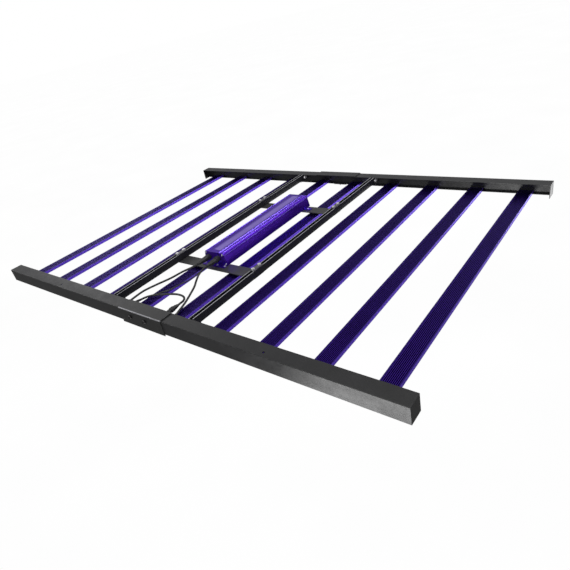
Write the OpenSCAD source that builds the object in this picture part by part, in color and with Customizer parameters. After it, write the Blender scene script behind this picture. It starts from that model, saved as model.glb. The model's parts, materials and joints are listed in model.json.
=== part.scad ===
// Folding ten-bar LED grow light with a central driver frame.
// Millimetres. The origin is the middle of the four hanging holes, on the rails' top faces.
// +X runs along the rails, +Y along the bars away from the cable side, +Z is up.
// Heights below are measured from the rails' undersides; placed() moves them to the origin.
// Shapes are drawn for the left half and the far rail, and mirrored for the others.

/* [Frame] */
// Length of the frame along its rails, over the end plates
frame_span = 1640; // [1500:10:1900]
// Depth of the frame over both rails
frame_depth = 1110; // [1000:10:1300]
// Height of a side rail
rail_h = 46; // [44:1:60]
// Depth of a rail's top flange
rail_depth = 42; // [38:1:50]
// Depth of the lip under each rail
lip_depth = 14; // [12:1:16]
// Thickness of the folded rail sheet
sheet = 2; // [1.6:0.1:2.2]
// Outside radius of the folded corners
bend_r = 1.6; // [1:0.1:1.6]
// Distance of each hanging hole from the middle, along the rail
hang_x = 456; // [430:1:500]
// Diameter of a hanging hole
hang_d = 6.5; // [4:0.5:8]

/* [Fold] */
// Width of the gap between the two halves
fold_gap = 1; // [0.6:0.1:2]
// Length of a splice sleeve over the fold
sleeve_len = 195; // [160:5:240]
// Gap between a splice sleeve and the rail it covers
sleeve_gap = 0.3; // [0.2:0.1:0.5]
// How far a sleeve hangs below the rail
sleeve_drop = 3; // [1:0.5:4]
// Length of one hinge leaf
leaf_len = 30; // [20:1:40]
// Outside radius of the hinge knuckles
knuckle_r = 2.6; // [2.4:0.1:2.8]
// Radius of the hinge pin
pin_r = 1.4; // [1.2:0.1:1.5]
// Radial clearance of the hinge pin in the moving knuckle
pin_play = 0.05; // [0.02:0.01:0.08]

/* [Light bars] */
// Distance between neighbouring bars
bar_pitch = 164.4; // [140:0.2:166]
// Width of a bar
bar_w = 46; // [44:1:50]
// Height of a bar
bar_h = 10.5; // [10:0.5:12]
// Number of fins on top of a bar
fin_count = 9; // [5:1:9]
// Thickness of a fin
fin_t = 1.3; // [0.8:0.1:1.6]
// Width of the solid lip along each side of a bar
side_lip = 3.5; // [2.5:0.1:3.8]
// Distance between neighbouring LED chips
led_pitch = 40; // [30:2:60]
// Side of a square LED chip
led_size = 5; // [3:0.5:6]

/* [Driver frame] */
// Distance of each driver beam from the middle
beam_x = 176; // [170:1:180]
// Width of a driver beam
beam_w = 16; // [15:1:18]
// Height of a driver beam
beam_h = 24; // [22:1:26]
// Height of the underside of the driver beams
beam_z = 23; // [23:1:24]
// Distance of each cross plate from the middle
plate_y = 231; // [225:1:240]
// Width of a cross plate
plate_w = 46; // [44:1:50]
// Thickness of a cross plate
plate_t = 3; // [2:0.5:3]
// Distance between the two bolts at each end of a cross plate
bolt_gap = 30; // [26:1:32]

/* [Driver] */
// Sideways place of the driver's middle
driver_x = -15; // [-20:1:0]
// Place of the driver's near end
driver_near = -217; // [-222:1:-214]
// Place of the driver's far end
driver_far = 259; // [255:1:262]
// Width of the driver across its base
driver_w = 100; // [96:1:104]
// Width of the driver across its flat top
driver_top_w = 80; // [76:1:84]
// Height of the driver
driver_h = 43; // [40:1:46]
// Thickness of the driver's case wall
wall = 2.5; // [2:0.1:3]
// Width of the blank label strip
label_w = 36; // [20:1:40]

/* [Cables] */
// Radius of the power cables
cable_r = 3.1; // [2:0.1:3.3]
// Radius of the thin dimming cable
thin_cable_r = 2; // [1:0.1:2.2]

/* [Hidden] */

$fn = 48;
e = 0.01;             // overshoot of a cutting shape
bar_count = 10;
half_bars = bar_count / 2;
half_span = frame_span / 2;
half_depth = frame_depth / 2;
flange_y = half_depth - rail_depth;

// Fold
hinge_z = -(sheet + 0.1);
leaf_t = sheet;
hinge_y0 = half_depth - lip_depth;
hinge_y1 = half_depth - sheet - 0.2;
knuckle_count = 3;
knuckle_gap = 0.2;
knuckle_len = (hinge_y1 - hinge_y0 - (knuckle_count - 1) * knuckle_gap) / knuckle_count;
knuckle_clear = 0.4;
sleeve_top = rail_h + sleeve_gap + sheet;
sleeve_out = half_depth + sleeve_gap + sheet;
sleeve_screw_z = 25;
sleeve_screw_xs = [-49, 18];
m5_r = 2.5;
hole_play = 0.05;
button_r = 6.8;
button_h = 5;

// Light bars
bar_z = sheet;
bar_top = bar_z + bar_h;
bar_end = half_depth - 7;
foot_w = 4;
base_z = bar_z + 3.2;
base_t = 2.3;
board_t = 1.6;
chip_t = 0.7;
lens_t = 0.7;
fit_gap = 0.1;
board_w = bar_w - 2 * foot_w - 2 * fit_gap;
board_end = bar_end - 10;
cap_t = 3;
tongue_len = 9;
bar_screw_r = 1.5;
bar_screw_head_r = 2.8;
bar_screw_y = half_depth - lip_depth + 3.5;
bar_screw_tip = 5.2;
groove_r = 0.9;
groove_z = bar_z + 3.2;
led_count = 2 * floor((board_end - led_size) / led_pitch) + 1;

// Wiring inside the near rail
harness_r = 2.5;
drop_r = 1.6;
harness_y = half_depth - sheet - harness_r - 1;
harness_z = 17;
harness_fold_gap = 12;

// Driver frame
beam_end = flange_y - 2;
beam_wall = 2;
beam_top = beam_z + beam_h;
end_bolt_y = flange_y + 9;
end_bolt_z = beam_z + 10;
end_bolt_r = 2.5;
end_hex_r = 6;
end_hex_h = 6;
hex_r = 4.6;
hex_h = 3.5;
shelf_t = 2;
shelf_in = 22;
bracket_top = rail_h - sheet - 0.5;
shelf_bolt_y = beam_end - 12;
saddle_len = 44;
saddle_t = 2;
cross_bolt_r = 2.5;
cross_head_r = 5.2;
cross_head_h = 4;
nut_h = 4;
nut_r = 3.7;

// Driver
driver_z = beam_z;
driver_top = driver_z + driver_h;
driver_len = driver_far - driver_near;
driver_mid_y = (driver_far + driver_near) / 2;
corner_t = 7;
end_t = 3;
foot_t = 2;
front_foot = 18;
ear_out = 26;
ear_len = 18;
gland_dx = -27;
plug_dx = 17;
gland_z = driver_z + 24;
end_screw_r = 1.5;
foot_screw_r = 1.7;
label_dx = 2;
foot_screw_dx = [-46, -13, 13, 46];
inlet_z = driver_z + 22;
inlet_r = 11;
dim_port_dx = -5;
dim_port_z = driver_z + 10;
gland_bore = cable_r + 0.1;
plug_len_y = 38;
ring_len = 14;
ring_y = driver_near - end_t - 3;
nose_r = 6.5;
ring_play = 0.05;

// Inline connector beside the near rail
inline_mid = [45, -(flange_y - 37), 21];
inline_len = 48;
inline_r = 5;
inline_body_r = 6.4;
inline_ring_r = 8;
inline_ring_len = 13;

// Plug and socket where the right feed cable meets the right half's wiring
fold_plug_x = 80;
fold_plug_z = harness_z + 1.5;
fold_plug_y = flange_y - 1;
fold_plug_len = 14;
fold_plug_r = 4.8;

// Cable routes, each with a first and last point that only set the end directions
path_steps = 6;
cable_sides = 16;
gland_end = driver_near - end_t - 56;
// A feed cable is a little thinner where its gland grips it
gland_core_r = cable_r - 0.2;
lead_end_y = harness_r + fit_gap - harness_y;
left_route = [
    [driver_x + gland_dx, gland_end + 20, gland_z],
    [driver_x + gland_dx, gland_end, gland_z],
    [-52, -296, 44],
    [-71, -320, 39],
    [-90, -357, 33],
    [-119, -401, 27],
    [-138, -440, 23],
    [-143, -480, 19],
    [-143, -(flange_y - 3), 17.5],
    [-143, lead_end_y, harness_z],
    [-143, -harness_y, harness_z],
];
right_route = [
    [driver_x + plug_dx, gland_end + 20, gland_z],
    [driver_x + plug_dx, gland_end, gland_z],
    [-3, -291, 43],
    [0, -314, 38],
    [12, -338, 34],
    [29, -365, 30],
    [46, -404, 25],
    [57, -435, 20.5],
    [71, -475, 19],
    [fold_plug_x, -fold_plug_y + fold_plug_len - 1, fold_plug_z],
    [fold_plug_x, -fold_plug_y, fold_plug_z],
];
link_route = [
    [-116, -harness_y, harness_z],
    [-116, lead_end_y, harness_z],
    [-116, -(flange_y - 3), 17],
    [-113, -487, 18],
    [-100, -464, 22],
    [-80, -451, 26],
    [-48, -438, 29],
    [-11, -427, 32],
    [14, -423, 34],
    [34, -423, 34.5],
    [48, -426, 34],
    [55, -431, 32.5],
    [56, -437, 29.5],
    [51, -442, 25.5],
    [inline_mid.x + 1, inline_mid.y + inline_len / 2 + 6, inline_mid.z + 1],
    [inline_mid.x, inline_mid.y + inline_len / 2 + 0.2, inline_mid.z],
    [inline_mid.x, inline_mid.y + inline_len / 2 - 6, inline_mid.z],
];
dim_route = [
    [driver_x + dim_port_dx, driver_near + 10, dim_port_z],
    [driver_x + dim_port_dx, driver_near - 1, dim_port_z],
    [driver_x + dim_port_dx, driver_near - end_t - 12, dim_port_z],
    [-20, -290, 32],
    [-21, -338, 29],
    [-36, -367, 26],
    [-50, -397, 23],
    [-78, -427, 20],
    [-108, -458, 17],
    [-126, -490, 16],
    [-128, lead_end_y, 15.5],
    [-128, -harness_y, 15.5],
];

// Middle of bar i, counted from 1 at the left
function bar_x(i) = (i - (bar_count + 1) / 2) * bar_pitch;
// Bars of one half
function half_range(right) = right ? [half_bars + 1 : bar_count] : [1 : half_bars];

// ---------- helpers ----------

// Extrudes a profile drawn in the YZ plane from x0 to x1
module along_x(x0, x1) {
    translate([x0, 0, 0]) rotate([90, 0, 90]) linear_extrude(x1 - x0) children();
}

// Extrudes a profile drawn in the XZ plane from y0 to y1
module along_y(y0, y1) {
    translate([0, y1, 0]) rotate([90, 0, 0]) linear_extrude(y1 - y0) children();
}

// A round bar along Y from y0 to y1, centred on x and z
module round_y(x, z, y0, y1, r1, r2) {
    translate([x, y1, z]) rotate([90, 0, 0]) cylinder(h = y1 - y0, r1 = r2, r2 = r1);
}

// A round bar along X from x0 to x1, centred on y and z
module round_x(y, z, x0, x1, r) {
    translate([x0, y, z]) rotate([0, 90, 0]) cylinder(h = x1 - x0, r = r);
}

// Draws the children on the far side, the near side or both
module on_sides(near = true, far = true) {
    if (far) children();
    if (near) mirror([0, 1, 0]) children();
}

// Draws the children on the left half, or mirrored on the right half
module on_half(right) {
    mirror([right ? 1 : 0, 0, 0]) children();
}

// Moves heights measured from the rails' undersides down to the origin on their top faces
module placed() {
    translate([0, 0, -rail_h]) children();
}

function lerp(a, b, t) = a + (b - a) * t;

// Point on a centripetal spline between the two middle points of four
function spline_at(a, b, c, d, u) =
    let (t1 = sqrt(norm(b - a)))
    let (t2 = t1 + sqrt(norm(c - b)))
    let (t3 = t2 + sqrt(norm(d - c)))
    let (t = lerp(t1, t2, u))
    let (ab = lerp(a, b, t / t1))
    let (bc = lerp(b, c, (t - t1) / (t2 - t1)))
    let (cd = lerp(c, d, (t - t2) / (t3 - t2)))
    lerp(lerp(ab, bc, t / t2), lerp(bc, cd, (t - t1) / (t3 - t1)), (t - t1) / (t2 - t1));

// Smooth path through a route whose first and last points only set the end directions
function smooth_path(route) = concat(
    [for (i = [1 : len(route) - 3], k = [0 : path_steps - 1])
        spline_at(route[i - 1], route[i], route[i + 1], route[i + 2], k / path_steps)],
    [route[len(route) - 2]]
);

// A round cable of radius r along a smooth path through a route
module cable(route, r) {
    path = smooth_path(route);
    last = len(path) - 1;
    rings = [for (i = [0 : last])
        let (ahead = i == 0 ? route[1] - route[0]
            : i == last ? route[len(route) - 1] - route[len(route) - 2]
            : path[i + 1] - path[i - 1])
        let (side = cross(ahead, [0, 0, 1]) / norm(cross(ahead, [0, 0, 1])))
        let (over = cross(side, ahead) / norm(ahead))
        for (k = [0 : cable_sides - 1])
            path[i] + r * (cos(k * 360 / cable_sides) * side + sin(k * 360 / cable_sides) * over)];
    skin = [for (i = [0 : last - 1], k = [0 : cable_sides - 1])
        let (a = i * cable_sides + k)
        let (b = i * cable_sides + (k + 1) % cable_sides)
        [a, b, b + cable_sides, a + cable_sides]];
    ends = [
        [for (k = [0 : cable_sides - 1]) cable_sides - 1 - k],
        [for (k = [0 : cable_sides - 1]) last * cable_sides + k],
    ];
    polyhedron(points = rings, faces = concat(skin, ends), convexity = 6);
}

// ---------- rails and fold ----------

// Rail outline: y from the flange edge outwards, z up
module rail_outline() {
    translate([flange_y, 0]) difference() {
        square([rail_depth, rail_h]);
        for (z = [0, rail_h]) {
            up = z > 0 ? -1 : 1;
            translate([rail_depth - bend_r, z + up * bend_r]) difference() {
                translate([0, up > 0 ? -bend_r - 1 : 0]) square(bend_r + 1);
                circle(bend_r);
            }
        }
    }
}

module rail_profile() {
    difference() {
        rail_outline();
        translate([flange_y - 1, sheet]) square([rail_depth - sheet + 1, rail_h - 2 * sheet]);
        translate([flange_y - 1, -1]) square([rail_depth - lip_depth + 1, sheet + 2]);
    }
}

// Left half of the far rail, drawn with its cut-outs
module rail_half(screw_hole) {
    difference() {
        along_x(-half_span + sheet, -fold_gap / 2) rail_profile();
        translate([-hang_x, half_depth - lip_depth, rail_h / 2]) cylinder(h = rail_h, d = hang_d);
        translate([-knuckle_r - knuckle_clear, hinge_y0 - 1, -1])
            cube([knuckle_r + knuckle_clear + 1, hinge_y1 - hinge_y0 + 1 + 0.2, sheet + 2]);
        for (i = [1 : half_bars]) bar_screw_hole(bar_x(i));
        if (screw_hole)
            round_y(sleeve_screw_xs[0], sleeve_screw_z, half_depth - 2 * sheet, half_depth + 1,
                    m5_r + hole_play, m5_r + hole_play);
    }
}

module rail(right, near) {
    placed() color([0.15, 0.15, 0.16]) on_half(right) on_sides(near = near, far = !near) rail_half(!right);
}

module near_rail_left() { rail(false, true); }
module far_rail_left() { rail(false, false); }
module near_rail_right() { rail(true, true); }
module far_rail_right() { rail(true, false); }

module end_plates(right) {
    placed() color([0.15, 0.15, 0.16]) on_half(right) on_sides() along_x(-half_span, -half_span + sheet) rail_outline();
}

module end_plates_left() { end_plates(false); }
module end_plates_right() { end_plates(true); }

// Far splice sleeve: an angle of sheet over the top and outside of both rail halves
module splice_sleeve() {
    placed() color([0.17, 0.17, 0.18]) difference() {
        along_x(-sleeve_len / 2, sleeve_len / 2) difference() {
            translate([flange_y, -sleeve_drop]) square([sleeve_out - flange_y, sleeve_top + sleeve_drop]);
            translate([flange_y - 1, -sleeve_drop - 1])
                square([rail_depth + sleeve_gap + 1, rail_h + sleeve_gap + sleeve_drop + 1]);
            translate([sleeve_out - bend_r, sleeve_top - bend_r]) difference() {
                square(bend_r + 1);
                circle(bend_r);
            }
        }
        for (x = sleeve_screw_xs)
            round_y(x, sleeve_screw_z, half_depth, sleeve_out + 1, m5_r + hole_play, m5_r + hole_play);
    }
}

module splice_sleeves() { on_sides() splice_sleeve(); }

// Button head screws: one through the left rail, one that only clamps against the right rail
module sleeve_screws() {
    tips = [half_depth - sheet - 5, half_depth + 0.1];
    placed() color([0.08, 0.08, 0.08]) on_sides() for (k = [0, 1]) {
        x = sleeve_screw_xs[k];
        difference() {
            union() {
                round_y(x, sleeve_screw_z, tips[k], sleeve_out + 1, m5_r, m5_r);
                round_y(x, sleeve_screw_z, sleeve_out, sleeve_out + button_h * 0.4, button_r, button_r);
                round_y(x, sleeve_screw_z, sleeve_out + button_h * 0.4, sleeve_out + button_h,
                        button_r, button_r * 0.6);
            }
            translate([x, sleeve_out + button_h + e, sleeve_screw_z]) rotate([90, 0, 0])
                cylinder(h = 2, r = 1.7, $fn = 6);
        }
    }
}

// Hinge leaf under the lip: own knuckles out of three are kept, the rest are cleared
module hinge_leaf(own) {
    placed() color([0.3, 0.3, 0.32]) difference() {
        union() {
            translate([-leaf_len, hinge_y0, -leaf_t])
                cube([leaf_len - knuckle_r - knuckle_clear, hinge_y1 - hinge_y0, leaf_t]);
            for (k = own) {
                y = hinge_y0 + k * (knuckle_len + knuckle_gap);
                round_y(0, hinge_z, y, y + knuckle_len, knuckle_r, knuckle_r);
                translate([-leaf_len / 2, y, -leaf_t]) cube([leaf_len / 2 - pin_r, knuckle_len, leaf_t]);
            }
        }
        round_y(0, hinge_z, hinge_y0 - 1, hinge_y1 + 1, pin_r + pin_play, pin_r + pin_play);
    }
}

module hinge_leaves_left() { on_sides() hinge_leaf([0, 2]); }
module hinge_leaves_right() { on_half(true) on_sides() hinge_leaf([1]); }

module hinge_pins() {
    placed() color("silver") on_sides() round_y(0, hinge_z, hinge_y0, hinge_y1, pin_r, pin_r);
}

// ---------- light bars ----------

module bar_profile() {
    fin_pitch = (bar_w - 2 * side_lip) / (fin_count + 0.4);
    difference() {
        translate([-bar_w / 2, bar_z]) square([bar_w, bar_h]);
        translate([-bar_w / 2 + foot_w, bar_z - 1]) square([bar_w - 2 * foot_w, base_z - bar_z + 1]);
        translate([-bar_w / 2 + side_lip, base_z + base_t]) square([bar_w - 2 * side_lip, bar_h]);
        for (x = [-1, 1]) translate([x * bar_w / 2, groove_z]) circle(groove_r);
    }
    for (k = [0 : fin_count - 1]) {
        x = (k - (fin_count - 1) / 2) * fin_pitch;
        translate([x - fin_t / 2, base_z + base_t - 0.5]) square([fin_t, bar_top - base_z - base_t + 0.5]);
    }
}

// Countersunk hole for a bar screw, at both ends of a bar or of the far rail half
module bar_screw_hole(x) {
    translate([x, bar_screw_y, -1]) cylinder(h = bar_screw_tip + 3.4, r = bar_screw_r + hole_play);
    translate([x, bar_screw_y, -e])
        cylinder(h = 1.3 + hole_play, r1 = bar_screw_head_r + hole_play, r2 = bar_screw_r + hole_play);
}

module heatsink_bar(i) {
    placed() color([0.12, 0.03, 0.42]) difference() {
        translate([bar_x(i), 0, 0]) along_y(-bar_end, bar_end) bar_profile();
        on_sides() translate([bar_x(i), bar_screw_y, bar_z])
            cylinder(h = bar_screw_tip + fit_gap, r = bar_screw_r + hole_play);
    }
}

module heatsink_bar_1() { heatsink_bar(1); }
module heatsink_bar_2() { heatsink_bar(2); }
module heatsink_bar_3() { heatsink_bar(3); }
module heatsink_bar_4() { heatsink_bar(4); }
module heatsink_bar_5() { heatsink_bar(5); }
module heatsink_bar_6() { heatsink_bar(6); }
module heatsink_bar_7() { heatsink_bar(7); }
module heatsink_bar_8() { heatsink_bar(8); }
module heatsink_bar_9() { heatsink_bar(9); }
module heatsink_bar_10() { heatsink_bar(10); }

module led_boards(right) {
    placed() color("white") for (i = half_range(right))
        translate([bar_x(i) - board_w / 2, -board_end, base_z - board_t]) cube([board_w, 2 * board_end, board_t]);
}

module led_chips(right) {
    placed() color([0.95, 0.8, 0.25]) for (i = half_range(right), k = [0 : led_count - 1])
        translate([bar_x(i), (k - (led_count - 1) / 2) * led_pitch, base_z - board_t - chip_t / 2])
            cube([led_size, led_size, chip_t], center = true);
}

module lens_strips(right) {
    placed() color([0.85, 0.9, 0.95, 0.5]) for (i = half_range(right))
        translate([bar_x(i) - board_w / 2, -board_end, bar_z]) cube([board_w, 2 * board_end, lens_t]);
}

// End cap: a plate over the bar end with a tongue in the board channel and a cable entry
module bar_end_cap(x) {
    difference() {
        union() {
            translate([x - bar_w / 2, bar_end, bar_z]) cube([bar_w, cap_t, bar_h]);
            translate([x - board_w / 2, bar_end - tongue_len, bar_z + 0.05])
                cube([board_w, tongue_len + 1, base_z - bar_z - 0.1]);
        }
        translate([x, bar_screw_y, 0]) cylinder(h = bar_top, r = bar_screw_r + hole_play);
    }
}

module bar_end_caps(right) {
    placed() color([0.1, 0.1, 0.1]) on_sides() for (i = half_range(right)) bar_end_cap(bar_x(i));
}

module bar_screws(right) {
    placed() color("dimgray") on_sides() for (i = half_range(right)) translate([bar_x(i), bar_screw_y, 0]) {
        cylinder(h = bar_z + bar_screw_tip, r = bar_screw_r);
        cylinder(h = 1.3, r1 = bar_screw_head_r, r2 = bar_screw_r);
    }
}

module led_boards_left() { led_boards(false); }
module led_boards_right() { led_boards(true); }
module led_chips_left() { led_chips(false); }
module led_chips_right() { led_chips(true); }
module lens_strips_left() { lens_strips(false); }
module lens_strips_right() { lens_strips(true); }
module bar_end_caps_left() { bar_end_caps(false); }
module bar_end_caps_right() { bar_end_caps(true); }
module bar_screws_left() { bar_screws(false); }
module bar_screws_right() { bar_screws(true); }

// Wiring in the near rail, with a drop to each bar's end cap
module harness(right) {
    placed() color([0.05, 0.05, 0.05]) on_half(right) mirror([0, 1, 0]) {
        round_x(harness_y, harness_z, bar_x(1) - 2 * harness_r, -harness_fold_gap, harness_r);
        for (i = [1 : half_bars])
            translate([bar_x(i), harness_y, bar_top + fit_gap])
                cylinder(h = harness_z - bar_top, r = drop_r);
    }
}

module harness_left() { harness(false); }

// The right half's wiring also carries the socket of the right feed cable and the link's tail
module harness_right() {
    harness(true);
    placed() color([0.05, 0.05, 0.05]) {
        round_y(fold_plug_x, fold_plug_z, -harness_y, -fold_plug_y - 1, cable_r, cable_r);
        round_y(fold_plug_x, fold_plug_z, -fold_plug_y - fold_plug_len, -fold_plug_y - hole_play, 3.4, fold_plug_r);
        round_y(inline_mid.x, inline_mid.z, -harness_y, inline_mid.y - inline_len / 2 - 0.2, cable_r, cable_r);
    }
}

// ---------- driver frame ----------

module driver_beam(x) {
    placed() color([0.16, 0.16, 0.17]) difference() {
        translate([x - beam_w / 2, -beam_end, beam_z]) cube([beam_w, 2 * beam_end, beam_h]);
        translate([x - beam_w / 2 + beam_wall, -beam_end - 1, beam_z + beam_wall])
            cube([beam_w - 2 * beam_wall, 2 * beam_end + 2, beam_h]);
        on_sides() {
            for (s = [-1, 1]) translate([x, plate_y + s * bolt_gap / 2, beam_z - 1])
                cylinder(h = beam_wall + 2, r = cross_bolt_r + hole_play);
            translate([x, shelf_bolt_y, beam_z - 1]) cylinder(h = beam_wall + 2, r = end_bolt_r + hole_play);
        }
    }
}

module driver_beam_left() { driver_beam(-beam_x); }
module driver_beam_right() { driver_beam(beam_x); }

// Hexagon bolt heads on both sides of a bracket
module bracket_bolts() {
    round_x(end_bolt_y, end_bolt_z, -beam_x - beam_w / 2 - 1, -beam_x + beam_w / 2 + 1, end_bolt_r);
    for (s = [-1, 1]) translate([-beam_x + s * (beam_w / 2 + end_hex_h / 2), end_bolt_y, end_bolt_z])
        rotate([0, 90, 0]) cylinder(h = end_hex_h, r = end_hex_r, center = true, $fn = 6);
}

// Bracket bolts of the left half, and the bolts that fix the left beam to its brackets
module beam_bolts_left() {
    placed() color("silver") on_sides() {
        bracket_bolts();
        translate([-beam_x, shelf_bolt_y, 0]) {
            translate([0, 0, beam_z - shelf_t - nut_h])
                cylinder(h = shelf_t + nut_h + beam_wall + 1, r = end_bolt_r);
            translate([0, 0, beam_z + beam_wall]) cylinder(h = hex_h, r = hex_r, $fn = 6);
            translate([0, 0, beam_z - shelf_t - nut_h]) cylinder(h = nut_h, r = hex_r, $fn = 6);
        }
    }
}

module beam_bolts_right() {
    placed() color("silver") on_half(true) on_sides() bracket_bolts();
}

// Channel bracket in the rail, in line with the beam, with a shelf under the beam end
module beam_brackets(right) {
    depth = half_depth - sheet - beam_end - 0.2;
    placed() color([0.15, 0.15, 0.16]) on_half(right) on_sides() difference() {
        union() {
            translate([-beam_x - beam_w / 2, beam_end - shelf_in, beam_z - shelf_t])
                cube([beam_w, shelf_in + depth + 0.2, shelf_t]);
            translate([-beam_x - beam_w / 2, beam_end + 0.2, beam_z - shelf_t])
                cube([beam_w, depth, bracket_top - beam_z + shelf_t]);
        }
        translate([-beam_x - beam_w / 2 + beam_wall, beam_end - 1, beam_z])
            cube([beam_w - 2 * beam_wall, depth + 1 - beam_wall, rail_h]);
        translate([-beam_x, shelf_bolt_y, 0]) cylinder(h = rail_h, r = end_bolt_r + hole_play);
        round_x(end_bolt_y, end_bolt_z, -beam_x - beam_w, -beam_x + beam_w, end_bolt_r + hole_play);
    }
}

module beam_brackets_left() { beam_brackets(false); }
module beam_brackets_right() { beam_brackets(true); }

// Plate under both beams, with a clinch nut for each bolt; side is -1 for the near plate
module cross_plate(side) {
    plate_len = 2 * beam_x + 10;
    placed() color([0.22, 0.22, 0.22]) difference() {
        translate([-plate_len / 2, side * plate_y - plate_w / 2, beam_z - plate_t])
            cube([plate_len, plate_w, plate_t]);
        for (x = [-beam_x, beam_x], s = [-1, 1])
            translate([x, side * plate_y + s * bolt_gap / 2, 0]) cylinder(h = rail_h, r = nut_r);
        foot_screw_holes();
    }
}

module cross_plate_near() { cross_plate(-1); }
module cross_plate_far() { cross_plate(1); }

// Small plate across the two beam lips, under each pair of bolt heads
module saddle_plates() {
    placed() color([0.4, 0.4, 0.4]) for (x = [-beam_x, beam_x]) on_sides() difference() {
        translate([x - beam_w / 2, plate_y - saddle_len / 2, beam_top]) cube([beam_w, saddle_len, saddle_t]);
        for (s = [-1, 1]) translate([x, plate_y + s * bolt_gap / 2, beam_top - 1])
            cylinder(h = saddle_t + 2, r = cross_bolt_r + hole_play);
    }
}

// Socket head bolts from the saddle plates down through the beams into the cross plates
module cross_bolts() {
    placed() color("silver") for (x = [-beam_x, beam_x]) on_sides() for (s = [-1, 1])
        translate([x, plate_y + s * bolt_gap / 2, 0]) {
            translate([0, 0, beam_z - plate_t]) cylinder(h = beam_h + saddle_t + plate_t + 1, r = cross_bolt_r);
            difference() {
                translate([0, 0, beam_top + saddle_t]) cylinder(h = cross_head_h, r = cross_head_r);
                translate([0, 0, beam_top + saddle_t + cross_head_h - 2]) cylinder(h = 3, r = 2.3, $fn = 6);
            }
        }
}

// Round clinch nuts, flush in the cross plates
module cross_nuts() {
    placed() color("silver") for (x = [-beam_x, beam_x]) on_sides() for (s = [-1, 1])
        translate([x, plate_y + s * bolt_gap / 2, beam_z - plate_t]) difference() {
            cylinder(h = plate_t, r = nut_r);
            translate([0, 0, -1]) cylinder(h = plate_t + 2, r = cross_bolt_r + hole_play);
        }
}

// ---------- driver ----------

// Case outline about the driver's middle: flared sides with a ledge and a groove under the top
module driver_outline(inset = 0) {
    b = driver_w / 2 - inset;
    t = driver_top_w / 2 - inset;
    ledge_w = t + 4.5;
    ledge_z = driver_h - 7;
    polygon([
        [-b, inset], [b, inset], [b, 3], [ledge_w, ledge_z - 2], [ledge_w, ledge_z],
        [t + 2, ledge_z + 1.5], [t + 2, ledge_z + 4], [t, driver_h - inset],
        [-t, driver_h - inset], [-t - 2, ledge_z + 4], [-t - 2, ledge_z + 1.5],
        [-ledge_w, ledge_z], [-ledge_w, ledge_z - 2], [-b, 3],
    ]);
}

// Inside of the case, with thick corners for the end screws
module driver_cavity() {
    b = driver_w / 2 - wall - 2;
    t = driver_top_w / 2 - wall;
    polygon([
        [-b + corner_t, wall], [b - corner_t, wall], [b, wall + corner_t],
        [t + 1, driver_h - wall - corner_t], [t - corner_t, driver_h - wall],
        [-t + corner_t, driver_h - wall], [-t - 1, driver_h - wall - corner_t], [-b, wall + corner_t],
    ]);
}

module driver_case() {
    placed() color([0.22, 0.07, 0.62]) difference() {
        translate([driver_x, 0, driver_z]) along_y(driver_near, driver_far) difference() {
            driver_outline();
            driver_cavity();
            for (x = [-driver_top_w / 2 + 7, driver_top_w / 2 - 11, driver_top_w / 2 - 7])
                translate([x, driver_h + 0.4]) circle(1.4);
        }
        end_screw_holes();
    }
}

// Screw places on both end plates, in the thick corners of the case
module end_screw_holes() {
    for (y = [driver_near, driver_far]) for (p = end_screw_points())
        translate([driver_x + p.x, y, driver_z + p.y]) rotate([90, 0, 0])
            cylinder(h = 30, r = end_screw_r + hole_play, center = true);
}

function end_screw_points() = [
    [-driver_top_w / 2 + 2, driver_h - 5], [driver_top_w / 2 - 2, driver_h - 5],
    [-driver_w / 2 + 4.5, 5.5], [driver_w / 2 - 4.5, 5.5],
];

// Holes of the front foot and of the two rear ears, through the cross plates
module foot_screw_holes() {
    for (dx = foot_screw_dx)
        translate([driver_x + dx, driver_near - end_t - front_foot / 2, beam_z - plate_t - 1])
            cylinder(h = 3 * plate_t, r = foot_screw_r + hole_play);
    for (s = [-1, 1])
        translate([driver_x + s * (driver_w / 2 + ear_out / 2), plate_y, beam_z - plate_t - 1])
            cylinder(h = 3 * plate_t, r = foot_screw_r + hole_play);
}

module driver_end_plate_near() {
    placed() color([0.2, 0.06, 0.55]) difference() {
        union() {
            translate([driver_x, 0, driver_z]) along_y(driver_near - end_t, driver_near) driver_outline();
            translate([driver_x - driver_w / 2, driver_near - end_t - front_foot, driver_z])
                cube([driver_w, front_foot + 1, foot_t]);
        }
        end_screw_holes();
        foot_screw_holes();
        for (dx = [gland_dx, plug_dx])
            round_y(driver_x + dx, gland_z, driver_near - 2 * end_t, driver_near + 1, 7.05, 7.05);
        round_y(driver_x + dim_port_dx, dim_port_z, driver_near - 2 * end_t, driver_near + 1,
                thin_cable_r + 0.2, thin_cable_r + 0.2);
    }
}

module driver_end_plate_far() {
    placed() color([0.2, 0.06, 0.55]) difference() {
        translate([driver_x, 0, driver_z]) along_y(driver_far, driver_far + end_t) driver_outline();
        end_screw_holes();
        round_y(driver_x, inlet_z, driver_far - 1, driver_far + 2 * end_t, inlet_r, inlet_r);
    }
}

// Round mains socket in the far end plate, with three contact holes
module mains_inlet() {
    y = driver_far + end_t;
    placed() color([0.1, 0.1, 0.1]) difference() {
        union() {
            round_y(driver_x, inlet_z, driver_far - 12, y, inlet_r, inlet_r);
            round_y(driver_x, inlet_z, y, y + 4, inlet_r + 3, inlet_r + 2.4);
            round_y(driver_x, inlet_z, y, y + 18, inlet_r, inlet_r);
        }
        round_y(driver_x, inlet_z, y + 4, y + 19, inlet_r - 2, inlet_r - 2);
        for (a = [90, 210, 330]) translate([4.5 * cos(a), 0, 4.5 * sin(a)])
            round_y(driver_x, inlet_z, y - 6, y + 5, 1.5, 1.5);
    }
}

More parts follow.
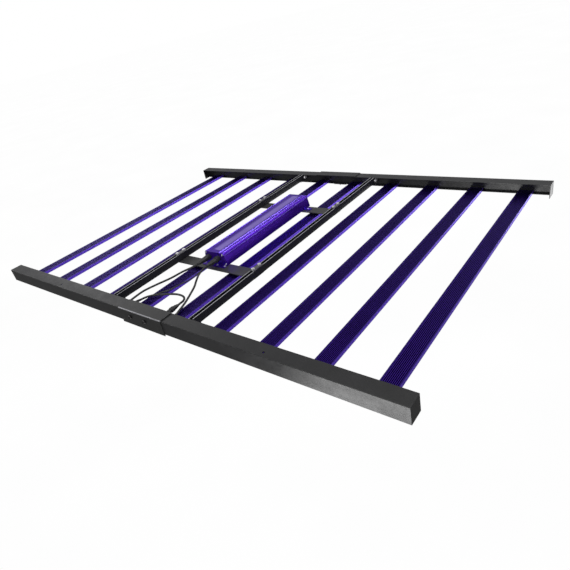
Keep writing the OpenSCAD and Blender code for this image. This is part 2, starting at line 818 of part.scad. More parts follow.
// Angle brackets that fix the rear of the case to the far cross plate
module driver_feet() {
    placed() color([0.2, 0.06, 0.55]) for (s = [-1, 1]) difference() {
        translate([driver_x + s * driver_w / 2, plate_y, driver_z]) {
            translate([s > 0 ? 0 : -ear_out, -ear_len / 2, 0]) cube([ear_out, ear_len, foot_t]);
            translate([s > 0 ? 0 : -foot_t, -ear_len / 2, 0]) cube([foot_t, ear_len, 8]);
        }
        foot_screw_holes();
    }
}

// Pan head screws of the end plates, and the screws of the feet
module driver_screws() {
    placed() color("silver") {
        for (p = end_screw_points()) translate([driver_x + p.x, 0, driver_z + p.y]) {
            round_y(0, 0, driver_near - end_t - 1, driver_near + 10, end_screw_r, end_screw_r);
            round_y(0, 0, driver_near - end_t - 2, driver_near - end_t, 2.6, 2.8);
            round_y(0, 0, driver_far - 10, driver_far + end_t + 1, end_screw_r, end_screw_r);
            round_y(0, 0, driver_far + end_t, driver_far + end_t + 2, 2.8, 2.6);
        }
        for (dx = foot_screw_dx) foot_screw(driver_x + dx, driver_near - end_t - front_foot / 2);
        for (s = [-1, 1]) foot_screw(driver_x + s * (driver_w / 2 + ear_out / 2), plate_y);
    }
}

module foot_screw(x, y) {
    translate([x, y, beam_z - plate_t]) cylinder(h = plate_t + foot_t + 1, r = foot_screw_r);
    translate([x, y, beam_z + foot_t]) cylinder(h = 2, r = 3.2);
}

module driver_label() {
    placed() color([0.62, 0.55, 0.85])
        translate([driver_x + label_dx - label_w / 2, driver_near + 14, driver_top])
            cube([label_w, driver_len - 28, 0.4]);
}

// Circuit board with its transformer, choke and capacitors
module driver_electronics() {
    board_z = driver_z + 8;
    placed() color([0.1, 0.35, 0.2]) translate([driver_x, driver_mid_y, board_z]) {
        translate([-36, -driver_len / 2 + 30, 0]) cube([72, driver_len - 60, 1.6]);
        for (x = [-30, 30], y = [-1, 1]) translate([x, y * (driver_len / 2 - 40), driver_z + wall - board_z])
            cylinder(h = board_z - driver_z - wall + 1, r = 3);
        translate([-16, -60, 1]) cube([34, 48, 22]);
        translate([-20, 60, 1]) cube([26, 34, 18]);
        for (k = [0 : 3]) translate([18, 110 - k * 24, 1]) cylinder(h = 20, r = 8);
        translate([-18, -160, 1]) cylinder(h = 14, r = 12);
    }
}

// Left strain relief on the driver and the small grommet of the dimming lead
module cable_glands() {
    x = driver_x + gland_dx;
    y = driver_near - end_t;
    placed() color([0.1, 0.1, 0.1]) {
        difference() {
            union() {
                round_y(x, gland_z, y - 1, driver_near + 6, 7, 7);
                round_y(x, gland_z, y - 9, y, 10, 10);
                round_y(x, gland_z, y - 28, y - 8, 8.6, 9.4);
                round_y(x, gland_z, y - 48, y - 27, 5.6, 8.6);
                round_y(x, gland_z, y - 55, y - 47, 4.8, 5.2);
            }
            round_y(x, gland_z, y - 60, driver_near + 10, gland_bore, gland_bore);
        }
        difference() {
            round_y(driver_x + dim_port_dx, dim_port_z, y - 4, y, 3.6, 4.2);
            round_y(driver_x + dim_port_dx, dim_port_z, y - 5, y + 1, thin_cable_r + 0.2, thin_cable_r + 0.2);
        }
    }
}

// Right socket and plug, with the neck that the coupling nut turns on
module output_plug() {
    x = driver_x + plug_dx;
    y = driver_near - end_t;
    placed() color([0.1, 0.1, 0.1]) difference() {
        union() {
            round_y(x, gland_z, y - 1, driver_near + 6, 7, 7);
            round_y(x, gland_z, y - 2.9, y, 9.5, 9.5);
            round_y(x, gland_z, y - ring_len - 5, y - 2, nose_r, nose_r);
            round_y(x, gland_z, y - 40, y - ring_len - 3.2, 6.9, 8.2);
            for (k = [0 : 3]) round_y(x, gland_z, y - 36 + 4.5 * k, y - 34 + 4.5 * k, 8.2, 8.2);
            round_y(x, gland_z, y - 43, y - 39, 7.4, 7.4);
            round_y(x, gland_z, y - 56, y - 42, 4.8, 6.2);
        }
        round_y(x, gland_z, y - 60, driver_near + 10, gland_bore, gland_bore);
    }
}

module output_coupling_nut() {
    x = driver_x + plug_dx;
    placed() color([0.14, 0.14, 0.14]) difference() {
        union() {
            round_y(x, gland_z, ring_y - ring_len, ring_y, 9.6, 9.6);
            for (a = [0 : 30 : 330]) translate([x, 0, gland_z]) rotate([0, a, 0])
                translate([-1, ring_y - ring_len + 1, 0]) cube([2, ring_len - 2, 10.2]);
        }
        round_y(x, gland_z, ring_y - ring_len - 1, ring_y + 1, nose_r + ring_play, nose_r + ring_play);
    }
}

// ---------- cables ----------

module feed_cable_left() {
    placed() color([0.06, 0.06, 0.06]) {
        cable(left_route, cable_r);
        round_y(driver_x + gland_dx, gland_z, gland_end - 0.5, driver_near - 2, gland_core_r, gland_core_r);
    }
}

module feed_cable_right() {
    placed() color([0.06, 0.06, 0.06]) {
        cable(right_route, cable_r);
        round_y(driver_x + plug_dx, gland_z, gland_end - 0.5, driver_near - 2, gland_core_r, gland_core_r);
        round_y(fold_plug_x, fold_plug_z, -fold_plug_y, -fold_plug_y + fold_plug_len, fold_plug_r, 3.4);
    }
}

// Looped link lead, and the thin dimming lead beside it
module link_cable() {
    placed() color([0.06, 0.06, 0.06]) {
        cable(link_route, cable_r);
        cable(dim_route, thin_cable_r);
    }
}

module inline_connector() {
    h = inline_len / 2;
    r = inline_ring_len / 2;
    placed() color([0.1, 0.1, 0.1]) translate(inline_mid) {
        round_y(0, 0, -h, -h + 9, 4.2, inline_r);
        round_y(0, 0, -h + 8, -r - 0.2, inline_body_r, inline_body_r);
        round_y(0, 0, -r - 1, r + 1, inline_r, inline_r);
        round_y(0, 0, r + 0.2, r + 8, inline_body_r, inline_body_r);
        round_y(0, 0, r + 7, h, inline_body_r - 0.4, 4);
    }
}

module inline_coupling_nut() {
    r = inline_ring_len / 2;
    placed() color([0.14, 0.14, 0.14]) translate(inline_mid) difference() {
        union() {
            round_y(0, 0, -r, r, inline_ring_r - 0.5, inline_ring_r - 0.5);
            for (a = [0 : 30 : 330]) rotate([0, a, 0]) translate([-0.8, 1 - r, 0])
                cube([1.6, inline_ring_len - 2, inline_ring_r]);
        }
        round_y(0, 0, -r - 1, r + 1, inline_r + ring_play, inline_r + ring_play);
    }
}

// ---------- one line per node ----------

near_rail_left();
far_rail_left();
near_rail_right();
far_rail_right();
end_plates_left();
end_plates_right();
splice_sleeves();
sleeve_screws();
hinge_leaves_left();
hinge_leaves_right();
hinge_pins();
heatsink_bar_1();
heatsink_bar_2();
heatsink_bar_3();
heatsink_bar_4();
heatsink_bar_5();
heatsink_bar_6();
heatsink_bar_7();
heatsink_bar_8();
heatsink_bar_9();
heatsink_bar_10();
led_boards_left();
led_boards_right();
led_chips_left();
led_chips_right();
lens_strips_left();
lens_strips_right();
bar_end_caps_left();
bar_end_caps_right();
bar_screws_left();
bar_screws_right();
harness_left();
harness_right();
driver_beam_left();
driver_beam_right();
beam_bolts_left();
beam_bolts_right();
beam_brackets_left();
beam_brackets_right();
cross_plate_near();
cross_plate_far();
saddle_plates();
cross_bolts();
cross_nuts();
driver_case();
driver_end_plate_near();
driver_end_plate_far();
driver_feet();
driver_screws();
driver_label();
driver_electronics();
mains_inlet();
cable_glands();
output_plug();
output_coupling_nut();
feed_cable_left();
feed_cable_right();
link_cable();
inline_connector();
inline_coupling_nut();
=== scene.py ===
# Looks of the folding ten-bar grow light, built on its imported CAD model.
# Everything is in metres in the CAD frame: +X along the rails, +Y away from the cable side, +Z up.
import json
import math

import bpy
from mathutils import Matrix, Vector


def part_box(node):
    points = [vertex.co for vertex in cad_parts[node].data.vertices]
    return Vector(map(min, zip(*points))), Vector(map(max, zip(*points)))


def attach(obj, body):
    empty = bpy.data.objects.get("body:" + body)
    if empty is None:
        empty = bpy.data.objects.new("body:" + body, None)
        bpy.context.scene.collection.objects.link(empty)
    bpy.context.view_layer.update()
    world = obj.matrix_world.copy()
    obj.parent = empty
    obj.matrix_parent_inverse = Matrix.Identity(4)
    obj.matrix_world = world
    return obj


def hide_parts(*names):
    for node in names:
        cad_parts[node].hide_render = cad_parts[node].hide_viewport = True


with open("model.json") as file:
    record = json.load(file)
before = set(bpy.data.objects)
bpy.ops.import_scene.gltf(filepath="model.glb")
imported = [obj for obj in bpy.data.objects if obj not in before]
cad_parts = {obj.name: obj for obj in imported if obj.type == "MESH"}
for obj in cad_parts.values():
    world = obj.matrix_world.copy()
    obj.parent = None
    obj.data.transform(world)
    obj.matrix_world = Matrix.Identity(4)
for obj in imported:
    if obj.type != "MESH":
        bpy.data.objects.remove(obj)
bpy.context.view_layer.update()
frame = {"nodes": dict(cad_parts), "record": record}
nodes = frame["nodes"]
MM = 0.001


# ---------- material helpers ----------

class Mat:
    """A node material with a Principled shader and short helpers."""

    def __init__(self, name):
        self.m = bpy.data.materials.new(name)
        self.m.use_nodes = True
        self.t = self.m.node_tree
        self.b = self.t.nodes["Principled BSDF"]
        self.coord = self.t.nodes.new("ShaderNodeTexCoord").outputs["Object"]

    @classmethod
    def reopen(cls, mat):
        """The helper around a material that exists already."""
        m = cls.__new__(cls)
        m.m, m.t = mat, mat.node_tree
        m.b = m.t.nodes["Principled BSDF"]
        m.coord = m.t.nodes.new("ShaderNodeTexCoord").outputs["Object"]
        return m

    def set(self, **kw):
        """Sets shader inputs by short name, from a value or from another node's socket."""
        names = dict(color="Base Color", metal="Metallic", rough="Roughness", coat="Coat Weight",
                     coat_rough="Coat Roughness", spec="Specular IOR Level", aniso="Anisotropic",
                     trans="Transmission Weight", ior="IOR")
        for k, v in kw.items():
            s = self.b.inputs[names[k]]
            if isinstance(v, bpy.types.NodeSocket):
                self.t.links.new(v, s)
            else:
                s.default_value = (*v, 1) if isinstance(v, (tuple, list)) and len(v) == 3 else v
        return self

    def link(self, a, b):
        self.t.links.new(a, b)

    def stretch(self, scale):
        """Object coordinates multiplied by scale, to draw out a noise along one axis."""
        n = self.t.nodes.new("ShaderNodeMapping")
        self.link(self.coord, n.inputs["Vector"])
        n.inputs["Scale"].default_value = scale
        return n.outputs["Vector"]

    def noise(self, scale, detail=3.0, rough=0.5, vec=None):
        n = self.t.nodes.new("ShaderNodeTexNoise")
        n.inputs["Scale"].default_value = scale
        n.inputs["Detail"].default_value = detail
        n.inputs["Roughness"].default_value = rough
        self.link(vec if vec is not None else self.coord, n.inputs["Vector"])
        return n.outputs["Fac"]

    def ramp(self, fac, lo, hi, a, b):
        """Maps fac from lo..hi to a..b."""
        n = self.t.nodes.new("ShaderNodeMapRange")
        for k, v in zip(("From Min", "From Max", "To Min", "To Max"), (lo, hi, a, b)):
            n.inputs[k].default_value = v
        self.link(fac, n.inputs["Value"])
        return n.outputs["Result"]

    def mix(self, fac, a, b):
        """Mixes colour a into colour b by fac."""
        n = self.t.nodes.new("ShaderNodeMix")
        n.data_type = "RGBA"
        pick = {i.identifier: i for i in n.inputs}
        for key, v in (("Factor_Float", fac), ("A_Color", a), ("B_Color", b)):
            s = pick[key]
            if isinstance(v, bpy.types.NodeSocket):
                self.link(v, s)
            else:
                s.default_value = (*v, 1) if isinstance(v, tuple) and len(v) == 3 else v
        return [o for o in n.outputs if o.identifier == "Result_Color"][0]

    def math(self, op, a, b=0.0):
        n = self.t.nodes.new("ShaderNodeMath")
        n.operation = op
        for s, v in zip(n.inputs, (a, b)):
            if isinstance(v, bpy.types.NodeSocket):
                self.link(v, s)
            else:
                s.default_value = v
        return n.outputs[0]

    def axis(self, letter):
        """One of the object coordinates, in metres."""
        n = self.t.nodes.new("ShaderNodeSeparateXYZ")
        self.link(self.coord, n.inputs[0])
        return n.outputs[letter]

    def edge(self, size):
        """A mask of edges and corners: 1 where the bevelled normal differs from the flat one."""
        bev = self.t.nodes.new("ShaderNodeBevel")
        bev.samples = 4
        bev.inputs["Radius"].default_value = size
        geo = self.t.nodes.new("ShaderNodeNewGeometry")
        dot = self.t.nodes.new("ShaderNodeVectorMath")
        dot.operation = "DOT_PRODUCT"
        self.link(bev.outputs["Normal"], dot.inputs[0])
        self.link(geo.outputs["Normal"], dot.inputs[1])
        return self.ramp(self.math("SUBTRACT", 1.0, dot.outputs["Value"]), 0.02, 0.25, 0.0, 1.0)

    def bump(self, height, distance, strength):
        """Adds a bump on top of the ones already there."""
        n = self.t.nodes.new("ShaderNodeBump")
        n.inputs["Strength"].default_value = strength
        n.inputs["Distance"].default_value = distance
        self.link(height, n.inputs["Height"])
        prev = self.b.inputs["Normal"]
        if prev.is_linked:
            self.link(prev.links[0].from_socket, n.inputs["Normal"])
        self.link(n.outputs["Normal"], prev)
        return self


def powder(name, dark, light, rough=0.42, worn=(0.16, 0.16, 0.165), spec=0.5, dust=0.1):
    """Satin powder coat: fine orange peel, faint blotches, dust in patches and rubbed edges."""
    m = Mat(name)
    blotch = m.noise(5, 4, 0.6)
    grime = m.noise(28, 5, 0.65)
    base = m.mix(m.ramp(blotch, 0.35, 0.7, 0.0, 1.0), dark, light)
    base = m.mix(m.ramp(grime, 0.55, 0.8, 0.0, dust), base, worn)
    chips = m.math("MULTIPLY", m.edge(0.0007), m.ramp(m.noise(90, 4, 0.6), 0.42, 0.6, 0.0, 1.0))
    base = m.mix(m.math("MULTIPLY", chips, 0.7), base, worn)
    m.set(color=base, metal=0.0, spec=spec, rough=m.ramp(grime, 0.3, 0.8, rough - 0.07, rough + 0.1))
    m.bump(m.noise(1400, 2, 0.5), 0.00008, 0.35)
    m.bump(m.noise(60, 3, 0.5), 0.00025, 0.12)
    return m.m


def anodised(name, dark, light, along="Y", rough=0.33, grain=0.00005):
    """Dyed anodised extrusion: fine drawing lines along the profile, dye variation, worn edges."""
    m = Mat(name)
    lines = 900
    scale = (lines, 3, lines) if along == "Y" else (3, lines, lines)
    draw = m.noise(1.0, 3, 0.6, m.stretch(scale))
    cloud = m.noise(9, 4, 0.55)
    base = m.mix(m.ramp(cloud, 0.3, 0.7, 0.0, 1.0), dark, light)
    base = m.mix(m.ramp(draw, 0.35, 0.75, 0.0, 0.35), base, tuple(min(1, 1.5 * c) for c in light))
    worn = m.math("MULTIPLY", m.edge(0.0005), m.ramp(m.noise(70, 4, 0.6), 0.4, 0.62, 0.15, 1.0))
    base = m.mix(m.math("MULTIPLY", worn, 0.45), base, (0.42, 0.36, 0.75))
    m.set(color=base, metal=0.85, rough=m.ramp(draw, 0.3, 0.7, rough - 0.06, rough + 0.1), aniso=0.4)
    m.bump(draw, grain, 0.35)
    m.bump(m.noise(700, 2, 0.5), 0.00003, 0.25)
    return m.m


def bar_material():
    """Anodised heatsink: painted shade makes it near black between the fins, purple on the fin tops, and a
    painted highlight makes it bright on the outer sides.
    """
    m = Mat("bar_purple_anodised")
    lo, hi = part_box("heatsink_bar_6")
    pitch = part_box("heatsink_bar_7")[0][0] - lo[0]
    across = m.math("PINGPONG", m.math("SUBTRACT", m.axis("X"), pitch / 2), pitch / 2)
    half = (hi[0] - lo[0]) / 2
    lip = m.ramp(across, half - 0.0039, half - 0.0036, 0.0, 1.0)
    top = m.ramp(m.axis("Z"), hi[2] - 0.0009, hi[2] - 0.0003, 0.0, 1.0)
    draw = m.noise(1.0, 2, 0.5, m.stretch((420, 0.8, 420)))
    cloud = m.noise(7, 4, 0.55)
    # Painted shade: the grooves between the fins are coloured near black
    deep = m.mix(m.ramp(cloud, 0.3, 0.7, 0.0, 1.0), (0.003, 0.001, 0.03), (0.005, 0.0015, 0.045))
    fin = m.mix(m.ramp(cloud, 0.3, 0.7, 0.0, 1.0), (0.05, 0.012, 0.3), (0.065, 0.018, 0.38))
    # Painted highlight: the outer side faces, picked by their normal, get a bright purple
    side = m.mix(m.ramp(cloud, 0.3, 0.7, 0.0, 1.0), (0.15, 0.06, 0.82), (0.2, 0.09, 0.92))
    geo = m.t.nodes.new("ShaderNodeNewGeometry")
    facing = m.t.nodes.new("ShaderNodeSeparateXYZ")
    m.link(geo.outputs["True Normal"], facing.inputs[0])
    sideways = m.ramp(m.math("ABSOLUTE", facing.outputs["X"]), 0.5, 0.8, 0.0, 1.0)
    outer = m.math("MULTIPLY", lip, sideways)
    lips = m.mix(m.ramp(cloud, 0.3, 0.7, 0.0, 1.0), (0.02, 0.005, 0.14), (0.03, 0.008, 0.19))
    base = m.mix(outer, m.mix(lip, m.mix(top, deep, fin), lips), side)
    shine = m.ramp(outer, 0.0, 1.0, 0.9, 0.6)
    base = m.mix(m.ramp(draw, 0.5, 0.85, 0.0, 0.06), base, (0.10, 0.04, 0.42))
    m.set(color=base, metal=shine, rough=m.ramp(draw, 0.3, 0.7, 0.3, 0.4))
    m.bump(draw, 0.00001, 0.3)
    return m.m


def steel(name, base, rough, tint, metal=1.0):
    """Zinc plated steel: clouded plating, turning marks and a little dirt."""
    m = Mat(name)
    cloud = m.noise(120, 4, 0.6)
    spots = m.noise(900, 3, 0.6)
    col = m.mix(m.ramp(cloud, 0.35, 0.7, 0.0, 0.6), base, tint)
    col = m.mix(m.ramp(spots, 0.6, 0.75, 0.0, 0.5), col, (0.12, 0.11, 0.1))
    m.set(color=col, metal=metal, rough=m.ramp(cloud, 0.3, 0.75, rough - 0.08, rough + 0.16))
    m.bump(m.noise(2500, 2, 0.5), 0.00004, 0.3)
    return m.m


def plastic(name, dark, light, rough=0.45, grain=2200):
    """Moulded black plastic: spark eroded grain, scuffed edges."""
    m = Mat(name)
    patch = m.noise(60, 4, 0.6)
    col = m.mix(m.ramp(patch, 0.35, 0.7, 0.0, 1.0), dark, light)
    col = m.mix(m.math("MULTIPLY", m.edge(0.0005), 0.5), col, (0.13, 0.13, 0.135))
    m.set(color=col, rough=m.ramp(patch, 0.3, 0.75, rough - 0.08, rough + 0.12), spec=0.5)
    m.bump(m.noise(grain, 2, 0.5), 0.00006, 0.5)
    return m.m


def rubber(name):
    """Cable jacket: dull black with handling marks and a faint lay of the cores."""
    m = Mat(name)
    patch = m.noise(45, 4, 0.65)
    col = m.mix(m.ramp(patch, 0.35, 0.7, 0.0, 1.0), (0.012, 0.012, 0.013), (0.03, 0.03, 0.032))
    m.set(color=col, rough=m.ramp(patch, 0.3, 0.75, 0.38, 0.6), spec=0.45)
    m.bump(m.noise(1500, 2, 0.5), 0.00005, 0.4)
    m.bump(m.noise(160, 2, 0.5), 0.0003, 0.15)
    return m.m


FRAME_DARK = (0.013, 0.013, 0.016)
FRAME_LIGHT = (0.02, 0.02, 0.024)


def beam_material():
    """Powder coated channel with a painted highlight along the top edges of its lips."""
    mat = powder("beam_powder_coat", FRAME_DARK, FRAME_LIGHT, 0.36, spec=0.22, dust=0.02)
    m = Mat.reopen(mat)
    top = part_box("driver_beam_left")[1][2]
    # Painted highlight: the top of the lips is mixed towards a pale grey
    painted_lip_highlight = m.ramp(m.axis("Z"), top - 0.0006, top - 0.0002, 0.0, 1.0)
    painted_lip_highlight = m.math("MULTIPLY", painted_lip_highlight, m.ramp(m.noise(40, 4, 0.6), 0.3, 0.6, 0.55, 1.0))
    m.set(color=m.mix(painted_lip_highlight, m.b.inputs["Base Color"].links[0].from_socket, (0.5, 0.5, 0.52)))
    return mat


def sleeve_material():
    """The rails' powder coat, with a painted highlight along the sleeve's top bends."""
    mat = powder("sleeve_powder_coat", (0.009, 0.009, 0.009), (0.014, 0.014, 0.014), 0.36)
    m = Mat.reopen(mat)
    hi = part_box("splice_sleeves")[1]
    outwards = m.ramp(m.math("ABSOLUTE", m.axis("Y")), hi[1] - 0.0032, hi[1] - 0.0022, 0.0, 1.0)
    upwards = m.ramp(m.axis("Z"), hi[2] - 0.0030, hi[2] - 0.0012, 0.0, 1.0)
    # Painted highlight: a pale grey along the top outer bends of the sleeve
    painted_bend_highlight = m.math("MULTIPLY", outwards, upwards)
    painted_bend_highlight = m.math("MULTIPLY", painted_bend_highlight, m.ramp(m.noise(30, 3, 0.5), 0.3, 0.6, 0.6, 1.0))
    m.set(color=m.mix(painted_bend_highlight, m.b.inputs["Base Color"].links[0].from_socket, (0.34, 0.34, 0.36)))
    return mat


RAIL = powder("rail_powder_coat", (0.009, 0.009, 0.0095), (0.014, 0.014, 0.015), 0.36,
              (0.1, 0.1, 0.105), dust=0.06)
PLATE = powder("frame_powder_coat", FRAME_DARK, FRAME_LIGHT, 0.36, dust=0.05)
CROSS = powder("cross_plate_powder_coat", (0.028, 0.028, 0.028), (0.04, 0.04, 0.04), 0.45)
SADDLE = powder("saddle_zinc_grey", (0.07, 0.07, 0.075), (0.1, 0.1, 0.105), 0.34, (0.3, 0.3, 0.3))
BAR = bar_material()
BEAM = beam_material()
SLEEVE = sleeve_material()
CASE = anodised("driver_purple_anodised", (0.06, 0.008, 0.36), (0.085, 0.014, 0.47), rough=0.3, grain=0.00001)
# The ribs' much lighter purple than the case is a painted highlight along the ridges
RIDGE = anodised("ridge_worn_anodised", (0.2, 0.12, 0.78), (0.28, 0.18, 0.9), rough=0.22, grain=0.00001)
CASE_END = anodised("end_plate_purple_anodised", (0.06, 0.012, 0.34), (0.08, 0.018, 0.44), "X", 0.34)
STEEL = steel("bright_zinc", (0.9, 0.9, 0.92), 0.26, (0.8, 0.78, 0.72), 0.55)
DULL = steel("dull_zinc", (0.3, 0.3, 0.31), 0.4, (0.2, 0.19, 0.18))
SCREW = steel("black_oxide", (0.022, 0.022, 0.024), 0.3, (0.04, 0.037, 0.034))
BLACK = plastic("black_moulding", (0.014, 0.014, 0.015), (0.028, 0.028, 0.03))
CAP = plastic("end_cap_moulding", (0.02, 0.02, 0.021), (0.034, 0.034, 0.036), 0.5)
CABLE = rubber("cable_jacket")


def board_material():
    """White solder mask with bare lines across the board."""
    m = Mat("white_solder_mask")
    tracks = m.math("PINGPONG", m.axis("Y"), 0.012)
    line = m.ramp(tracks, 0.0007, 0.0010, 0.35, 0.0)
    col = m.mix(line, (0.86, 0.86, 0.83), (0.62, 0.55, 0.34))
    col = m.mix(m.ramp(m.noise(40, 4, 0.6), 0.4, 0.75, 0.0, 0.2), col, (0.7, 0.69, 0.62))
    m.set(color=col, rough=m.ramp(m.noise(200, 3), 0.3, 0.7, 0.28, 0.45), spec=0.5)
    m.bump(line, 0.00004, 0.6)
    m.bump(m.noise(1500, 2), 0.00002, 0.3)
    return m.m


def phosphor_material():
    """Yellow phosphor window of a white LED."""
    m = Mat("led_phosphor")
    col = m.mix(m.ramp(m.noise(500, 3), 0.35, 0.7, 0.0, 1.0), (0.85, 0.62, 0.08), (0.95, 0.78, 0.2))
    m.set(color=col, rough=m.ramp(m.noise(900, 2), 0.3, 0.7, 0.18, 0.35), coat=0.5)
    m.bump(m.noise(3000, 2), 0.00003, 0.4)
    return m.m


def package_material():
    """Pale moulded LED package and connector housing."""
    m = Mat("led_package")
    patch = m.noise(300, 3)
    m.set(color=m.mix(m.ramp(patch, 0.35, 0.7, 0.0, 1.0), (0.74, 0.73, 0.68), (0.86, 0.85, 0.8)),
          rough=m.ramp(patch, 0.3, 0.7, 0.3, 0.48), spec=0.5)
    m.bump(m.noise(2500, 2), 0.00002, 0.4)
    return m.m


def deep_red_material():
    """Clear window over a dark red emitter."""
    m = Mat("led_deep_red")
    spots = m.noise(700, 3)
    m.set(color=m.mix(m.ramp(spots, 0.35, 0.7, 0.0, 1.0), (0.36, 0.05, 0.04), (0.52, 0.12, 0.09)),
          rough=m.ramp(spots, 0.3, 0.7, 0.12, 0.3), coat=0.6)
    m.bump(m.noise(3000, 2), 0.00002, 0.3)
    return m.m


def lens_material():
    """Clear cover strip with fine lengthwise scratches."""
    m = Mat("clear_cover")
    scratch = m.noise(1.0, 4, 0.6, m.stretch((1500, 12, 1500)))
    m.set(color=(0.93, 0.95, 0.97), rough=m.ramp(scratch, 0.55, 0.8, 0.04, 0.3), trans=1.0, ior=1.45)
    m.bump(scratch, 0.00003, 0.3)
    return m.m


def label_material():
    """Plain printed film: a lighter field inside a darker border, no lettering."""
    m = Mat("label_film")
    lo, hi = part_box("driver_label")
    across = m.math("ABSOLUTE", m.math("SUBTRACT", m.axis("X"), (lo[0] + hi[0]) / 2))
    edge = (hi[0] - lo[0]) / 2 - 0.006
    border = m.ramp(across, edge - 0.0002, edge + 0.0002, 0.0, 1.0)
    cloud = m.noise(16, 4, 0.6)
    field = m.mix(m.ramp(cloud, 0.35, 0.7, 0.0, 1.0), (0.15, 0.09, 0.43), (0.21, 0.14, 0.54))
    m.set(color=m.mix(border, field, (0.07, 0.02, 0.34)), rough=m.ramp(cloud, 0.3, 0.7, 0.3, 0.44),
          coat=0.25, coat_rough=0.25)
    m.bump(m.noise(900, 2), 0.00003, 0.4)
    m.bump(m.noise(35, 2), 0.0002, 0.12)
    return m.m


def electronics_material():
    """Green board below, dark parts above."""
    m = Mat("circuit_board_and_parts")
    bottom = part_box("driver_electronics")[0][2]
    high = m.ramp(m.axis("Z"), bottom + 0.0078, bottom + 0.0082, 0.0, 1.0)
    green = m.mix(m.ramp(m.noise(120, 4), 0.35, 0.7, 0.0, 1.0), (0.01, 0.09, 0.04), (0.02, 0.15, 0.07))
    part = m.mix(m.ramp(m.noise(60, 4), 0.35, 0.7, 0.0, 1.0), (0.03, 0.03, 0.03), (0.12, 0.09, 0.05))
    m.set(color=m.mix(high, green, part), rough=m.ramp(m.noise(80, 3), 0.3, 0.7, 0.35, 0.55))
    m.bump(m.noise(600, 3), 0.0001, 0.4)
    return m.m


BOARD = board_material()
PHOSPHOR = phosphor_material()
PACKAGE = package_material()
DEEP_RED = deep_red_material()
LENS = lens_material()
LABEL = label_material()
PARTS = electronics_material()

# Material of each slot, and of the nodes that differ from their slot
finish = {
    "rail_paint": RAIL, "plate_paint": PLATE, "purple_anodised": BAR, "grey_metal": SADDLE,
    "bright_steel": STEEL, "black_screw": SCREW, "black_plastic": BLACK, "cable_rubber": CABLE,
    "board_white": BOARD, "led_phosphor": PHOSPHOR, "lens_clear": LENS, "label_film": LABEL,
    "driver_green": PARTS,
}
special = {
    "driver_case": CASE, "driver_end_plate_near": CASE_END, "driver_end_plate_far": CASE_END,
    "driver_feet": CASE_END, "cross_plate_near": CROSS, "cross_plate_far": CROSS,
    "hinge_leaves_left": DULL, "hinge_leaves_right": DULL,
    "bar_end_caps_left": CAP, "bar_end_caps_right": CAP,
    "driver_beam_left": BEAM, "driver_beam_right": BEAM,
    "splice_sleeves": SLEEVE,
    "beam_brackets_left": PLATE, "beam_brackets_right": PLATE,
}


def paint(obj, mat):
    obj.data.materials.clear()
    obj.data.materials.append(mat)


def bevel(obj, width, segments):
    mod = obj.modifiers.new("edge", "BEVEL")
    mod.width = width
    mod.segments = segments
    mod.limit_method = "ANGLE"
    mod.angle_limit = math.radians(40)
    mod.harden_normals = False


for sub in frame["record"]["subparts"]:
    name = sub["node"]
    paint(nodes[name], special.get(name, finish[sub["material_slot"]]))


# ---------- new pieces ----------

def add(name, verts, faces, mat, body, smooth=False):
    """A new mesh that rides on a body, with the given material."""
    me = bpy.data.meshes.new(name)
    me.from_pydata(verts, [], faces)
    me.materials.append(mat)
    me.polygons.foreach_set("use_smooth", [smooth] * len(me.polygons))
    me.update()
    o = bpy.data.objects.new(name, me)
    bpy.context.scene.collection.objects.link(o)
    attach(o, body)
    return o


def curve_points(route, step=0.003):
    """Points along a smooth curve through the route (centripetal Catmull-Rom), in metres."""
    pts = [Vector(p) * MM for p in route]
    pts = [pts[0] * 2 - pts[1]] + pts + [pts[-1] * 2 - pts[-2]]
    out = []
    for a, b, c, d in zip(pts, pts[1:], pts[2:], pts[3:]):
        n = max(4, int((c - b).length / step))
        t1 = (b - a).length ** 0.5
        t2 = t1 + (c - b).length ** 0.5
        t3 = t2 + (d - c).length ** 0.5
        for i in range(n):
            t = t1 + (t2 - t1) * i / n
            ab, bc = a + (b - a) * (t / t1), b + (c - b) * ((t - t1) / (t2 - t1))
            cd = c + (d - c) * ((t - t2) / (t3 - t2))
            p = ab + (bc - ab) * (t / t2)
            q = bc + (cd - bc) * ((t - t1) / (t3 - t1))
            out.append(p + (q - p) * ((t - t1) / (t2 - t1)))
    return out + [pts[-2]]


def tube(pts, radius, sides=18):
    """Rings of vertices along a path, without twist, closed at both ends."""
    verts, faces = [], []
    tangent = (pts[1] - pts[0]).normalized()
    up = tangent.cross(Vector((0, 0, 1))).normalized()
    for i, p in enumerate(pts):
        ahead = (pts[min(i + 1, len(pts) - 1)] - pts[max(i - 1, 0)]).normalized()
        up = (tangent.rotation_difference(ahead) @ up).normalized()
        tangent = ahead
        side = tangent.cross(up)
        r = radius(i / (len(pts) - 1)) if callable(radius) else radius
        for k in range(sides):
            a = 2 * math.pi * k / sides
            verts.append(p + (up * math.cos(a) + side * math.sin(a)) * r)
    for i in range(len(pts) - 1):
        for k in range(sides):
            j = (k + 1) % sides
            faces.append((i * sides + k, i * sides + j, (i + 1) * sides + j, (i + 1) * sides + k))
    faces.append(tuple(range(sides))[::-1])
    faces.append(tuple(range(len(verts) - sides, len(verts))))
    return verts, faces


# ---------- cables ----------

CABLE_R = 3.2 * MM
THIN_R = 2.0 * MM
PLUG_X, PLUG_Z = 80, 18.5
RAIL_H = 46


def placed(route):
    """Route heights are measured from the rails' undersides."""
    return [(x, y, z - RAIL_H) for x, y, z in route]


